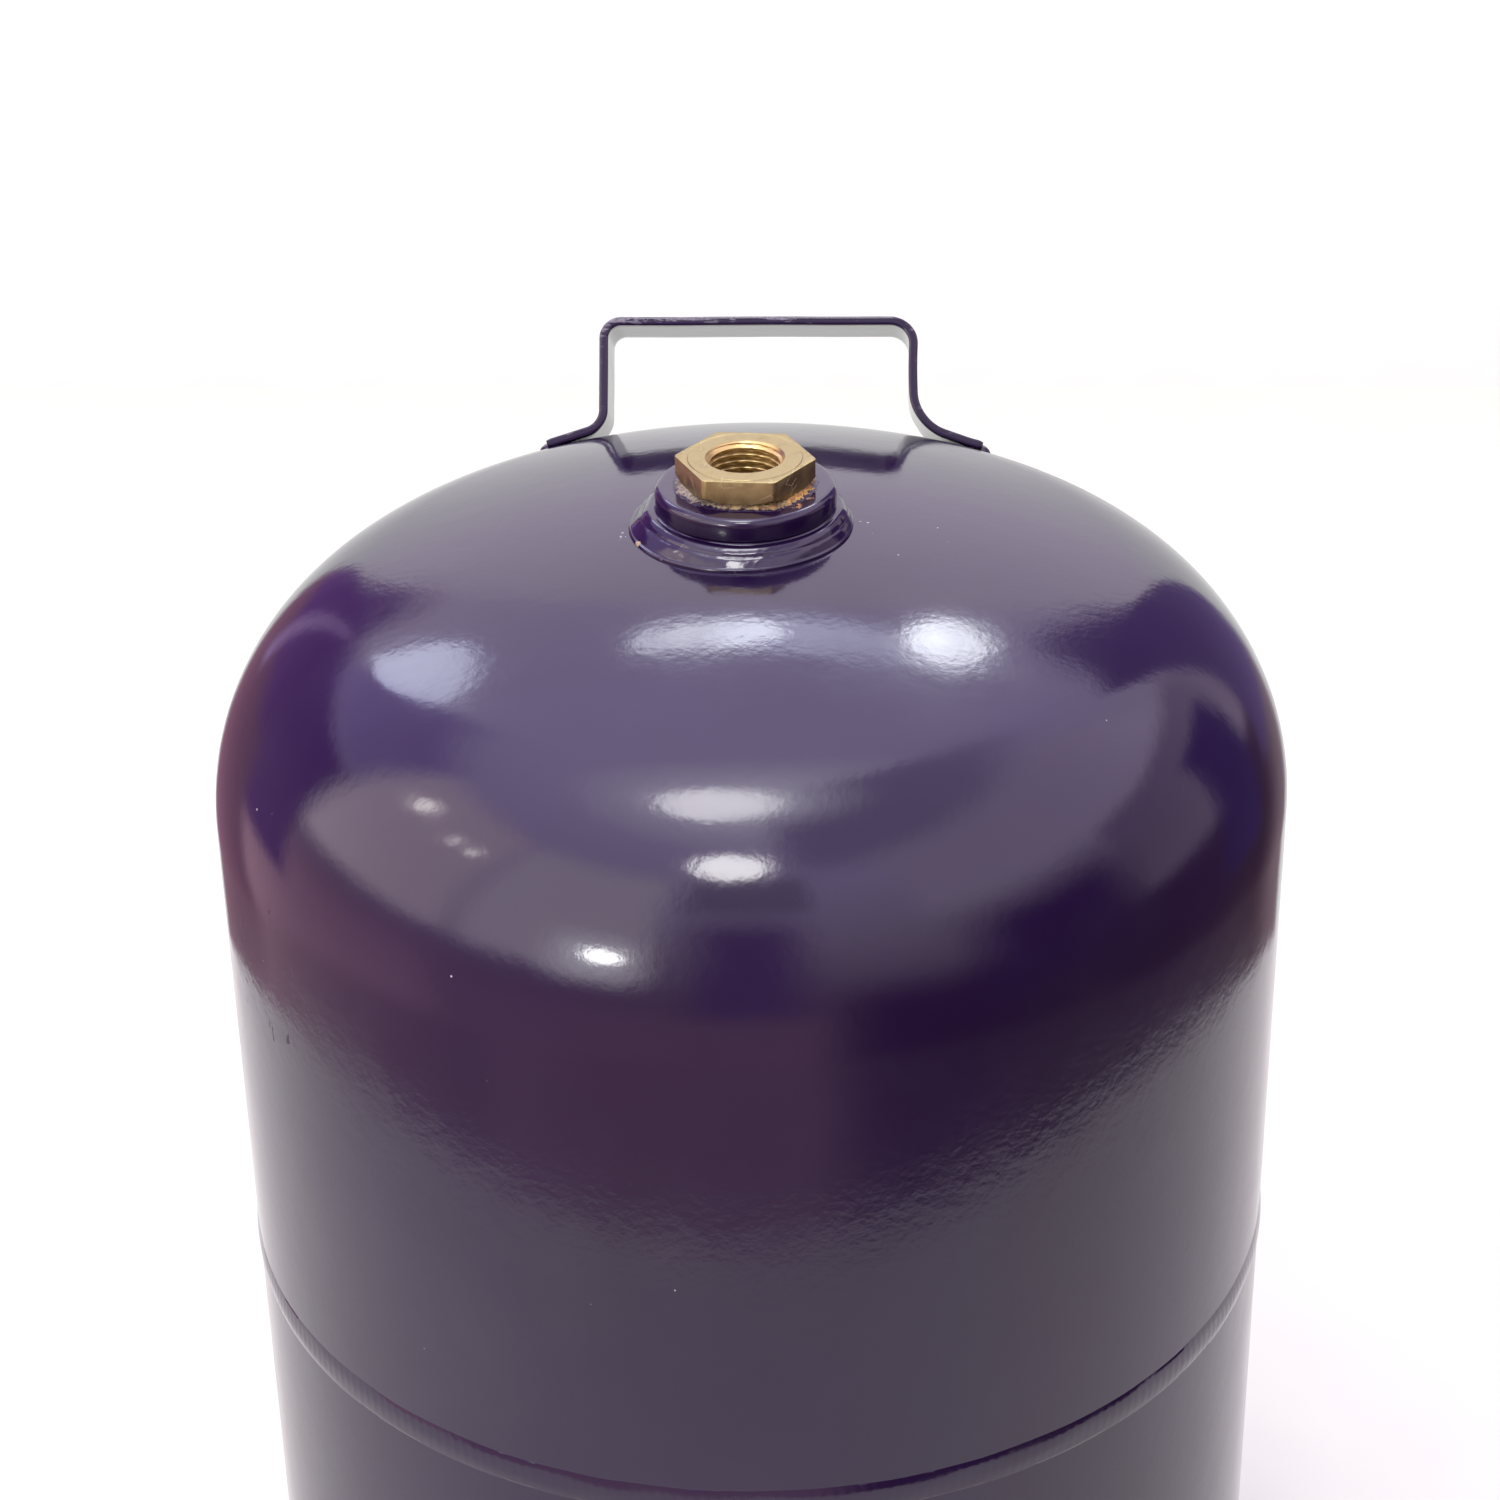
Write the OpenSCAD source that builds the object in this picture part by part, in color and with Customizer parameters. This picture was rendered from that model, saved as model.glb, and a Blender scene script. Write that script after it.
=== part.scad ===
// Refillable steel gas cylinder: two deep-drawn halves joined by a girth weld,
// a welded strip handle, a welded neck boss with a self-closing brass valve, and a foot ring.
// Origin: centre of the foot ring, on the floor. +Z is up, +X runs along the handle's grip
// and +Y points from the valve to the handle.

/* [Shell] */
// Outer diameter of the cylinder
body_d = 229; // [227:0.5:231]
// Height of the two joined halves, from crown to crown
shell_h = 330; // [320:1:345]
// Sheet thickness of both halves
wall = 2; // [1.8:0.1:2.4]
// Spherical radius of the crown of each dome
crown_r = 258; // [255:1:262]
// Radius of the knuckle between crown and side
knuckle_r = 50; // [48:0.5:52]
// Gap between the lower crown and the floor
ground_gap = 14; // [12:0.5:18]

/* [Girth weld] */
// Width of the weld bead round the middle
weld_w = 7; // [6:0.5:9]
// Height of the bead above the side
weld_h = 0.45; // [0.3:0.05:0.8]
// Length of the lower half's edge that slips inside the upper half
joggle_h = 10; // [8:1:14]

/* [Neck] */
// Diameter of the boss collar
boss_d = 37.7; // [37:0.1:39]
// Height of the boss collar above the crown
boss_h = 8; // [7.8:0.1:8.2]
// Height of the collar's straight side
collar_h = 4.7; // [4.4:0.1:5]
// Diameter of the weld's toe on the dome
neck_weld_d = 46.6; // [46:0.2:49]

/* [Valve] */
// Width of the hexagon across its flats
hex_af = 25.5; // [25:0.1:26]
// Height of the hexagon
hex_h = 5; // [4.8:0.1:5.6]
// Turn of the hexagon when the valve is tight
hex_turn = -3.7; // [-10:0.1:10]
// Thickness of the sealing compound under the hexagon
sealant_t = 0.95; // [0.5:0.05:1.2]
// Minor diameter of the regulator thread, M16 x 1.5
thread_d = 14.38; // [14.37:0.01:14.6]
// Diameter of the thread's mouth
mouth_d = 16.5; // [16.2:0.1:16.8]
// Diameter of the valve's screwed shank
shank_d = 21.8; // [21.6:0.1:22]
// Travel of the poppet when a regulator opens it
poppet_travel = 2.5; // [2:0.1:2.6]

/* [Handle] */
// Width of the strip
strip_w = 20; // [19:0.5:21]
// Thickness of the strip
strip_t = 2; // [1.8:0.1:2.2]
// Outer width of the handle's loop
loop_w = 72.9; // [71:0.1:74]
// Height of the loop above the place where its feet rest
loop_h = 29.7; // [29.2:0.1:30]
// Lean of the handle away from the valve
lean = 30; // [29.5:0.1:30.5]
// Distance of the feet's front edge behind the valve's axis
handle_y = 78; // [77.7:0.1:78.3]
// Slope of the feet
foot_slope = 15.1; // [15:0.1:15.4]
// Reach of the left foot from the middle
left_reach = 48.5; // [48:0.1:51]
// Reach of the right foot from the middle
right_reach = 51.2; // [50:0.1:53]

/* [Foot ring] */
// Outer diameter of the foot ring
ring_d = 180; // [179:0.5:181]
// Sheet thickness of the foot ring
ring_t = 2.5; // [2.3:0.1:2.7]
// Width of the lip turned in at the floor
lip_w = 9; // [8:0.5:12]
// Diameter of the drain holes
drain_d = 7; // [5:0.5:8]
// Number of drain holes
drains = 6; // [4:1:8]

/* [Hidden] */
$fn = 128;

paint = [0.17, 0.09, 0.30];
brass = [0.80, 0.64, 0.38];
steel = [0.70, 0.71, 0.73];
rubber = [0.08, 0.08, 0.09];

// Shell
body_r = body_d / 2;
crown_z = ground_gap + shell_h;
seam_z = ground_gap + shell_h / 2;
knuckle_c = body_r - knuckle_r;
crown_a = asin(knuckle_c / (crown_r - knuckle_r));
dome_h = crown_r - (crown_r - knuckle_r) * cos(crown_a);
weld_gap = 3;
slip = 0.1;
neck_hole_r = 15;

// Valve stack, all heights above the crown
hex_z = boss_h + sealant_t;
hex_top = hex_z + hex_h;
mouth_h = (mouth_d - thread_d) / 2;
thread_h = 10.1;
thread_end = hex_top - mouth_h - thread_h;
gasket_t = 1.6;
gasket_r = 8.1;
gasket_hole_r = 3.8;
seat_z = thread_end - gasket_t - 2.6;
seat_hole_r = 3;
chamber_r = 6.5;
seal_t = 1.2;
stem_r = 2.5;
flange_r = 5.2;
flange_t = 2;
flange_z = seat_z - seal_t - flange_t - 0.05;
spring_h = 8;
spring_r = 4.1;
wire_r = 0.4;
spring_turns = 6;
retainer_t = 1.6;
retainer_z = flange_z - spring_h - retainer_t;
guide_r = 2;
clip_t = 1;
clip_z = retainer_z - clip_t;
filter_t = 2;
filter_gap = poppet_travel + 0.2;
filter_z = clip_z - filter_gap - filter_t;
filter_clip_z = filter_z - clip_t;
groove_r = 7.1;
shank_end = filter_clip_z - 1.5;

// Handle
side_s = loop_w / 2 - strip_t / 2;
bar_s = loop_h - strip_t / 2;
contact_s = 45;
foot_lift = 0.5;
contact_z = crown_z - dome_drop(norm([contact_s, handle_y]));
top_left_bend = 4;
top_right_bend = 5.6;
foot_left_bend = 4.2;
foot_right_bend = 8.5;
bend_steps = 12;
handle_bead_r = 1.6;
handle_bead_in = 0.3;

// Foot ring
ring_r = ring_d / 2;
ring_h = ground_gap + dome_drop(ring_r - ring_t) - 0.3;
lip_bend = 4;
ring_bead_r = 2;

// Depth of the dome's outer surface below the crown, at a distance from the axis
function dome_drop(r) = r < crown_r * sin(crown_a)
    ? crown_r - sqrt(pow(crown_r, 2) - pow(r, 2))
    : dome_h - sqrt(pow(knuckle_r, 2) - pow(r - knuckle_c, 2));

// Height of the strip's middle line on a foot, at a distance along the handle
function foot_line(s) = foot_lift + strip_t / 2 / cos(foot_slope) - (s - contact_s) * tan(foot_slope);

// A sector of a flat ring, from angle a0 to angle a1
module ring_sector(r, t, a0, a1) {
    reach = 2 * r;
    mid = (a0 + a1) / 2;
    intersection() {
        difference() {
            circle(r);
            circle(r - t);
        }
        polygon([[0, 0], reach * [cos(a0), sin(a0)], reach * [cos(mid), sin(mid)],
                 reach * [cos(a1), sin(a1)]]);
    }
}

// Half section of one drawn half, crown up, with its crown at height 0
module half_section(side_h) {
    translate([0, -crown_r]) ring_sector(crown_r, wall, 90 - crown_a, 90);
    translate([knuckle_c, -dome_h]) ring_sector(knuckle_r, wall, 0, 90 - crown_a);
    translate([body_r - wall, -dome_h - side_h]) square([wall, side_h]);
}

module upper_shell() {
    color(paint) translate([0, 0, crown_z]) rotate_extrude() difference() {
        half_section(crown_z - seam_z - weld_gap / 2 - dome_h);
        translate([0, -wall - 3]) square([neck_hole_r, wall + 4]);
    }
}

module lower_shell() {
    side_h = seam_z - weld_gap / 2 - ground_gap - dome_h;
    inner_r = body_r - wall - slip;
    step_h = 4;
    color(paint) rotate_extrude() {
        translate([0, ground_gap]) mirror([0, 1]) half_section(side_h);
        translate([inner_r - wall, seam_z - weld_gap / 2 - step_h])
            square([wall + slip, step_h]);
        translate([inner_r - wall, seam_z - weld_gap / 2])
            square([wall, joggle_h]);
    }
}

// The root fills the gap between the halves, the cap stands proud of both
module girth_weld() {
    arc_r = (pow(weld_w / 2, 2) + pow(weld_h, 2)) / (2 * weld_h);
    color(paint) translate([0, 0, seam_z]) rotate_extrude() {
        translate([body_r - wall, -weld_gap / 2]) square([wall, weld_gap]);
        intersection() {
            translate([body_r + weld_h - arc_r, 0]) circle(arc_r, $fn = 256);
            translate([body_r, -weld_w / 2]) square([weld_h * 2, weld_w]);
        }
    }
}

module neck_boss() {
    round_r = 1.6;
    bore_r = shank_d / 2 + 0.05;
    stub_r = neck_hole_r - 0.1;
    stub_end = -8;
    r = boss_d / 2;
    color(paint) translate([0, 0, crown_z]) rotate_extrude() {
        translate([bore_r, stub_end]) square([stub_r - bore_r, boss_h - collar_h - stub_end]);
        translate([bore_r, boss_h - collar_h]) square([r - bore_r, collar_h - round_r]);
        translate([bore_r, boss_h - round_r]) square([r - round_r - bore_r, round_r]);
        intersection() {
            translate([r - round_r, boss_h - round_r]) circle(round_r);
            translate([r - round_r, boss_h - round_r]) square(round_r);
        }
    }
}

// Fillet from the dome up to the underside of the collar
module neck_weld() {
    toe_r = neck_weld_d / 2;
    collar_r = boss_d / 2;
    top = boss_h - collar_h;
    color(paint) translate([0, 0, crown_z]) rotate_extrude() difference() {
        polygon([[neck_hole_r, -1.5], [toe_r, -dome_drop(toe_r)],
                 [toe_r - 1.2, 0.9], [collar_r, top], [neck_hole_r, top]]);
        translate([0, -crown_r]) circle(crown_r, $fn = 512);
    }
}

module bore_profile() {
    seat_web = gasket_t + 0.4;
    rotate_extrude() {
        translate([0, thread_end]) square([thread_d / 2, hex_top + 1 - thread_end]);
        polygon([[0, hex_top - mouth_h], [thread_d / 2, hex_top - mouth_h],
                 [mouth_d / 2 + 1, hex_top + 1], [0, hex_top + 1]]);
        translate([0, thread_end - gasket_t]) square([gasket_r + 0.1, gasket_t]);
        translate([0, seat_z - 1]) square([seat_hole_r, thread_end - seat_z + seat_web]);
        translate([0, shank_end - 1]) square([chamber_r, seat_z - shank_end + 1]);
        translate([0, clip_z - 0.05]) square([groove_r, clip_t + 0.05]);
        translate([0, filter_clip_z - 0.05]) square([groove_r, clip_t + 0.05]);
    }
}

module valve_body() {
    corner_r = hex_af / 2 / cos(30);
    chamfer = 1.1;
    color(brass) translate([0, 0, crown_z]) difference() {
        union() {
            intersection() {
                translate([0, 0, hex_z]) rotate([0, 0, hex_turn]) cylinder(h = hex_h, r = corner_r, $fn = 6);
                rotate_extrude() polygon([[0, hex_z], [hex_af / 2 + 0.4, hex_z],
                                          [corner_r + 0.1, hex_z + chamfer],
                                          [corner_r + 0.1, hex_top], [0, hex_top]]);
            }
            translate([0, 0, shank_end]) cylinder(h = hex_z - shank_end, d = shank_d);
        }
        bore_profile();
    }
}

module thread_sealant() {
    color([0.78, 0.74, 0.66]) translate([0, 0, crown_z + boss_h]) difference() {
        cylinder(h = sealant_t, r = hex_af / 2 + 1.1);
        translate([0, 0, -1]) cylinder(h = sealant_t + 2, d = shank_d + 0.2);
    }
}

module regulator_gasket() {
    color(rubber) translate([0, 0, crown_z + thread_end - gasket_t]) difference() {
        cylinder(h = gasket_t, r = gasket_r);
        translate([0, 0, -1]) cylinder(h = gasket_t + 2, r = gasket_hole_r);
    }
}

module poppet() {
    stem_top = thread_end - gasket_t - 0.4;
    guide_end = retainer_z - 0.4;
    color(brass) translate([0, 0, crown_z]) rotate_extrude() {
        square_from(0, flange_z + flange_t, stem_r, stem_top);
        square_from(0, flange_z, flange_r, flange_z + flange_t);
        square_from(0, guide_end, guide_r, flange_z);
    }
}

// Rectangle from one corner to the opposite one
module square_from(x0, y0, x1, y1) {
    translate([x0, y0]) square([x1 - x0, y1 - y0]);
}

module poppet_seal() {
    color(rubber) translate([0, 0, crown_z + flange_z + flange_t]) difference() {
        cylinder(h = seal_t, r = flange_r - 0.2);
        translate([0, 0, -1]) cylinder(h = seal_t + 2, r = stem_r);
    }
}

// Round wire along a helix with its ends ground into the first and last half turn
module poppet_spring() {
    rings = 16 * spring_turns;
    sides = 8;
    rise = spring_h - 2 * wire_r;
    points = [for (i = [0:rings], k = [0:sides - 1])
        let (turn = 360 * spring_turns * i / rings, a = 360 * k / sides,
             r = spring_r + wire_r * cos(a))
        [r * cos(turn), r * sin(turn), wire_r + rise * i / rings + wire_r * sin(a)]];
    walls = [for (i = [0:rings - 1], k = [0:sides - 1])
        let (n = (k + 1) % sides)
        [i * sides + k, (i + 1) * sides + k, (i + 1) * sides + n, i * sides + n]];
    start = [[for (k = [0:sides - 1]) k]];
    finish = [[for (k = [sides - 1:-1:0]) rings * sides + k]];
    color(steel) translate([0, 0, crown_z + flange_z - spring_h])
        polyhedron(points, concat(walls, start, finish));
}

module spring_retainer() {
    vents = 6;
    color(brass) translate([0, 0, crown_z + retainer_z]) difference() {
        cylinder(h = retainer_t, r = chamber_r - 0.05);
        translate([0, 0, -1]) cylinder(h = retainer_t + 2, r = guide_r + 0.05);
        for (i = [0:vents - 1]) rotate([0, 0, 360 * i / vents])
            translate([4.6, 0, -1]) cylinder(h = retainer_t + 2, r = 0.8);
    }
}

// Open snap ring that springs out into its groove
module snap_ring(z) {
    open_w = 2.4;
    translate([0, 0, crown_z + z]) difference() {
        cylinder(h = clip_t, r = groove_r - 0.1);
        translate([0, 0, -1]) cylinder(h = clip_t + 2, r = chamber_r - 1);
        translate([0, -open_w / 2, -1]) cube([groove_r + 1, open_w, clip_t + 2]);
    }
}

module retainer_ring() { color(steel) snap_ring(clip_z); }
module filter_ring() { color(steel) snap_ring(filter_clip_z); }

module gas_filter() {
    color([0.62, 0.50, 0.34]) translate([0, 0, crown_z + filter_z])
        cylinder(h = filter_t, r = chamber_r - 0.05);
}

// Places the handle's own plane: x along the grip, y up the lean, z towards the valve
module handle_frame() {
    translate([0, handle_y, contact_z]) rotate([90 - lean, 0, 0]) children();
}

// Points of an arc about a centre
function arc(centre, r, a0, a1) = [for (i = [0:bend_steps])
    let (a = a0 + (a1 - a0) * i / bend_steps) centre + r * [cos(a), sin(a)]];

// One side of the strip from the middle of the bar to the tip of a foot,
// at an offset from the strip's middle line
function half_line(offset, top_r, foot_r, reach) =
    let (turn = 90 - foot_slope,
         foot_z = foot_line(side_s) + foot_r * tan(turn / 2),
         tip = [reach, foot_line(reach)])
    concat(arc([side_s - top_r, bar_s - top_r], top_r + offset, 90, 0),
           arc([side_s + foot_r, foot_z], foot_r - offset, 180, 180 + turn),
           [tip + offset * [sin(foot_slope), cos(foot_slope)]]);

function reversed(points) = [for (i = [len(points) - 1:-1:0]) points[i]];
function mirrored(points) = [for (p = points) [-p[0], p[1]]];

// The whole line of the strip from the left tip to the right tip
function strip_line(offset) = concat(
    reversed(mirrored(half_line(offset, top_left_bend, foot_left_bend, left_reach))),
    half_line(offset, top_right_bend, foot_right_bend, right_reach));

module handle() {
    color(paint) handle_frame() translate([0, 0, -strip_w]) linear_extrude(strip_w)
        polygon(concat(strip_line(strip_t / 2), reversed(strip_line(-strip_t / 2))));
}

// Bead across the tip of a foot
module foot_bead(reach) {
    color(paint) handle_frame()
        translate([reach - handle_bead_in, foot_line(reach) - strip_t / 2, -strip_w + 1.5])
            cylinder(h = strip_w - 3, r = handle_bead_r, $fn = 48);
}

module handle_weld_right() { foot_bead(right_reach); }
module handle_weld_left() { mirror([1, 0, 0]) foot_bead(left_reach); }

module foot_ring() {
    color(paint) difference() {
        rotate_extrude() {
            square_from(ring_r - ring_t, lip_bend, ring_r, ring_h);
            translate([ring_r - lip_bend, lip_bend]) ring_sector(lip_bend, ring_t, -90, 0);
            square_from(ring_r - lip_w, 0, ring_r - lip_bend, ring_t);
        }
        for (i = [0:drains - 1]) rotate([0, 0, 30 + 360 * i / drains])
            translate([ring_r - 10, 0, ring_h / 2]) rotate([0, 90, 0]) cylinder(h = 20, d = drain_d);
    }
}

// Upright butt weld where the rolled ring closes, at the back
module foot_ring_seam() {
    bead_r = 2.2;
    proud = 0.6;
    color(paint) translate([0, ring_r + proud - bead_r, lip_bend])
        cylinder(h = ring_h - lip_bend - 3, r = bead_r, $fn = 48);
}

module foot_ring_welds() {
    stitches = 4;
    stitch_a = 50;
    color(paint) for (i = [0:stitches - 1]) rotate([0, 0, 360 * i / stitches + 45 - stitch_a / 2])
        rotate_extrude(angle = stitch_a) translate([ring_r, ring_h + 0.6]) circle(ring_bead_r, $fn = 32);
}

upper_shell();
lower_shell();
girth_weld();
neck_boss();
neck_weld();
valve_body();
thread_sealant();
regulator_gasket();
poppet();
poppet_seal();
poppet_spring();
spring_retainer();
retainer_ring();
gas_filter();
filter_ring();
handle();
handle_weld_left();
handle_weld_right();
foot_ring();
foot_ring_seam();
foot_ring_welds();
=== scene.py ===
import math

import bmesh
import bpy
from mathutils import Matrix, Vector, noise


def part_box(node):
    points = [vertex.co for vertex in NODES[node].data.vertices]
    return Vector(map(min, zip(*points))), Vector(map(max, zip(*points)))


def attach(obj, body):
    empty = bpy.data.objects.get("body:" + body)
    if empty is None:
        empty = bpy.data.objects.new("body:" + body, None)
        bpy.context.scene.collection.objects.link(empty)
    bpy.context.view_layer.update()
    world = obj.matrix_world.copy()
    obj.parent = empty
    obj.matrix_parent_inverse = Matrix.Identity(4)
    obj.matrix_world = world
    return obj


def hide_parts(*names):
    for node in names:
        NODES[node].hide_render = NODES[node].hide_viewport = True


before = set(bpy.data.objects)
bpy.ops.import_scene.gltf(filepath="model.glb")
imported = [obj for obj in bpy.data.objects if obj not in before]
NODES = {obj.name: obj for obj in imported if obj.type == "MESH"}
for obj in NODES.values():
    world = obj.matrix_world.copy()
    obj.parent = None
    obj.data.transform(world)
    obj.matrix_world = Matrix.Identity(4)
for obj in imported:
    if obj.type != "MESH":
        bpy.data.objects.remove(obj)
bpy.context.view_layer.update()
MM = 0.001

# -------- sizes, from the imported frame
# What a node's box gives is read from it. The rest follows the part's own dimensions.
SHELL_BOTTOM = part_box("lower_shell")[0].z
SEAM_Z = (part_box("girth_weld")[0].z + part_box("girth_weld")[1].z) / 2
SEAM_HALF_GAP = 1.5 * MM
CROWN_Z = 2 * SEAM_Z - SHELL_BOTTOM
BODY_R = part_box("upper_shell")[1].x
WALL = 2 * MM
CROWN_R = 258 * MM
KNUCKLE_R = 50 * MM
KNUCKLE_C = BODY_R - KNUCKLE_R
CROWN_A = math.asin(KNUCKLE_C / (CROWN_R - KNUCKLE_R))
DOME_H = CROWN_R - (CROWN_R - KNUCKLE_R) * math.cos(CROWN_A)
NECK_HOLE_R = 15 * MM

BOSS_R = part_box("neck_boss")[1].x
BOSS_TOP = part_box("neck_boss")[1].z
COLLAR_H = 4.7 * MM
COLLAR_Z = BOSS_TOP - COLLAR_H
NECK_WELD_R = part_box("neck_weld")[1].x

HEX_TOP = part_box("valve_body")[1].z
SHANK_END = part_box("valve_body")[0].z
HEX_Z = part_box("thread_sealant")[1].z
THREAD_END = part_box("regulator_gasket")[1].z
HEX_FLAT_R = 12.75 * MM
HEX_CORNER_R = HEX_FLAT_R / math.cos(math.radians(30))
HEX_TURN = math.radians(-3.7)
PITCH = 1.5 * MM
THREAD_MINOR = 7.19 * MM
THREAD_MAJOR = 8.0 * MM
MOUTH_R = 8.25 * MM
GASKET_R = 8.2 * MM
SHANK_R = 10.9 * MM
CHAMBER_R = 6.5 * MM
GROOVE_R = 7.1 * MM
SEAT_R = 3.0 * MM
SEAT_DEPTH = 4.2 * MM

STRIP_W = 20 * MM
STRIP_T = 2 * MM
STRIP_CORNER = 0.45 * MM
LEAN = math.radians(30)
HANDLE_Y = 78 * MM
HANDLE_HALF = 35.45 * MM
HANDLE_BAR = 28.7 * MM
FOOT_LIFT = 0.5 * MM
CONTACT_S = 45 * MM
FOOT_SLOPE = math.radians(15.1)
LEFT_SHIFT = 0.7 * MM
LEFT_TIP = 48.5 * MM + LEFT_SHIFT
RIGHT_REACH = 51.2 * MM


def dome_drop(r):
    """Depth of the dome's outer surface below the crown at radius r."""
    if r < CROWN_R * math.sin(CROWN_A):
        return CROWN_R - math.sqrt(CROWN_R ** 2 - r ** 2)
    return DOME_H - math.sqrt(max(KNUCKLE_R ** 2 - (r - KNUCKLE_C) ** 2, 0))


# -------- mesh helpers

def polar(r, angle, z):
    """The point at a radius, at an angle about the Z axis, and at a height."""
    return (r * math.cos(angle), r * math.sin(angle), z)


def turn_angles(count, start=0.0):
    """Evenly spaced angles round one whole turn."""
    return [start + 2 * math.pi * k / count for k in range(count)]


def arc(cx, cz, r, start_deg, end_deg, steps):
    """Points of an arc about (cx, cz), ends included."""
    angles = [math.radians(start_deg + (end_deg - start_deg) * i / steps) for i in range(steps + 1)]
    return [(cx + r * math.cos(a), cz + r * math.sin(a)) for a in angles]


def spread(start, end, steps):
    """Evenly spaced points from start to end, the end left out."""
    return [(start[0] + (end[0] - start[0]) * i / steps, start[1] + (end[1] - start[1]) * i / steps)
            for i in range(steps)]


def share(value, low, high):
    """0 at low, 1 at high, clamped."""
    return min(max((value - low) / (high - low), 0.0), 1.0)


def ring_faces(rows, sides, joined=True, flip=False):
    """Four-sided faces between rings of points. joined also links the last ring to the first, and
    flip turns the faces over."""
    faces = []
    for i in range(rows if joined else rows - 1):
        here = i * sides
        there = (i + 1) % rows * sides
        for k in range(sides):
            n = (k + 1) % sides
            if flip:
                faces.append((here + k, there + k, there + n, here + n))
            else:
                faces.append((here + k, here + n, there + n, there + k))
    return faces


def loft(rings):
    """Vertices and faces of a tube through rings of points, with closed ends."""
    sides = len(rings[0])
    last = (len(rings) - 1) * sides
    faces = ring_faces(len(rings), sides, joined=False)
    faces += [tuple(reversed(range(sides))), tuple(range(last, last + sides))]
    return [point for ring in rings for point in ring], faces


def add_object(name, verts, faces, material):
    """A plain mesh object in the scene."""
    mesh = bpy.data.meshes.new(name)
    mesh.from_pydata([tuple(v) for v in verts], [], faces)
    mesh.materials.append(material)
    made = bpy.data.objects.new(name, mesh)
    bpy.context.scene.collection.objects.link(made)
    return made


def add_piece(name, verts, faces, material, sharp_deg=40):
    """A smooth-shaded mesh object that rides on the tank."""
    piece = add_object(name, verts, faces, material)
    mesh = piece.data
    mesh.validate()
    mesh.polygons.foreach_set("use_smooth", [True] * len(mesh.polygons))
    mesh.set_sharp_from_angle(angle=math.radians(sharp_deg))
    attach(piece, "tank")
    return piece


def turned(name, outline, segments, material, push=None, sharp_deg=40):
    """A closed outline of (radius, height) turned round the Z axis. push(r, z, angle, row) may
    return a changed (r, z) for each point."""
    verts = []
    for row, (r, z) in enumerate(outline):
        for a in turn_angles(segments):
            pushed_r, pushed_z = push(r, z, a, row) if push else (r, z)
            verts.append(polar(pushed_r, a, pushed_z))
    return add_piece(name, verts, ring_faces(len(outline), segments), material, sharp_deg)


def paint_points(piece, name, values):
    """Stores one number per vertex, which the piece's material reads."""
    layer = piece.data.attributes.new(name, "FLOAT", "POINT")
    layer.data.foreach_set("value", values)


# -------- material helpers

def colour(red, green, blue):
    return (red, green, blue, 1.0)


def new_material(name):
    material = bpy.data.materials.new(name)
    material.use_nodes = True
    return material, material.node_tree, material.node_tree.nodes["Principled BSDF"]


def feed(tree, socket, value):
    """Links another node's output to a socket, or sets the socket to a number or a colour."""
    if isinstance(value, bpy.types.NodeSocket):
        tree.links.new(value, socket)
    else:
        socket.default_value = value


def node(tree, kind, inputs=None, **settings):
    """Adds a node. An input may be a number, a colour or another node's output."""
    made = tree.nodes.new("ShaderNode" + kind)
    for key, value in settings.items():
        setattr(made, key, value)
    for key, value in (inputs or {}).items():
        feed(tree, made.inputs[key], value)
    return made


def wire(tree, shader, **values):
    """Feeds the shader's sockets: base_color is the socket Base Color, and so on."""
    for name, value in values.items():
        feed(tree, shader.inputs[name.replace("_", " ").title()], value)


def mix_colour(tree, factor, a, b):
    """a where the factor is 0 and b where it is 1. On a Mix node the colours are inputs 6 and 7,
    and the mixed colour is output 2."""
    return node(tree, "Mix", {0: factor, 6: a, 7: b}, data_type="RGBA").outputs[2]


def maths(tree, operation, a, b=0.0):
    return node(tree, "Math", {0: a, 1: b}, operation=operation).outputs[0]


def remap(tree, value, low, high, to_low=0.0, to_high=1.0):
    """Smoothly maps low to to_low and high to to_high."""
    return node(tree, "MapRange", {"Value": value, "From Min": low, "From Max": high,
                                   "To Min": to_low, "To Max": to_high},
                interpolation_type="SMOOTHSTEP").outputs[0]


def remap_line(tree, value, low, high):
    """Evenly maps low to 0 and high to 1."""
    return node(tree, "MapRange", {"Value": value, "From Min": low, "From Max": high}).outputs[0]


def place(tree):
    """The point being shaded, in metres in the object's frame."""
    return node(tree, "TexCoord").outputs["Object"]


def scaled(tree, vector, scale):
    return node(tree, "Mapping", {"Vector": vector, "Scale": scale}).outputs[0]


def cloud(tree, vector, scale, detail=2.0, roughness=0.5):
    return node(tree, "TexNoise", {"Vector": vector, "Scale": scale, "Detail": detail,
                                   "Roughness": roughness}).outputs["Fac"]


def cells(tree, vector, scale):
    """Distance to the nearest of many scattered points."""
    return node(tree, "TexVoronoi", {"Vector": vector, "Scale": scale},
                feature="F1").outputs["Distance"]


def stored(tree, name):
    return node(tree, "Attribute", attribute_name=name).outputs["Fac"]


def bump(tree, height, distance, normal=None):
    inputs = {"Height": height, "Distance": distance}
    if normal is not None:
        inputs["Normal"] = normal
    return node(tree, "Bump", inputs).outputs[0]


def cover(tree, shader, mask, tint, roughness):
    """Lays a rough colour over what the shader has so far, where mask is 1."""
    below = shader.inputs["Base Color"].links[0].from_socket
    wire(tree, shader, base_color=mix_colour(tree, mask, below, tint))
    below = shader.inputs["Roughness"].links[0].from_socket
    kept = maths(tree, "MULTIPLY", below, maths(tree, "SUBTRACT", 1.0, mask))
    laid = maths(tree, "MULTIPLY", mask, roughness)
    wire(tree, shader, roughness=maths(tree, "ADD", kept, laid))


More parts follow.
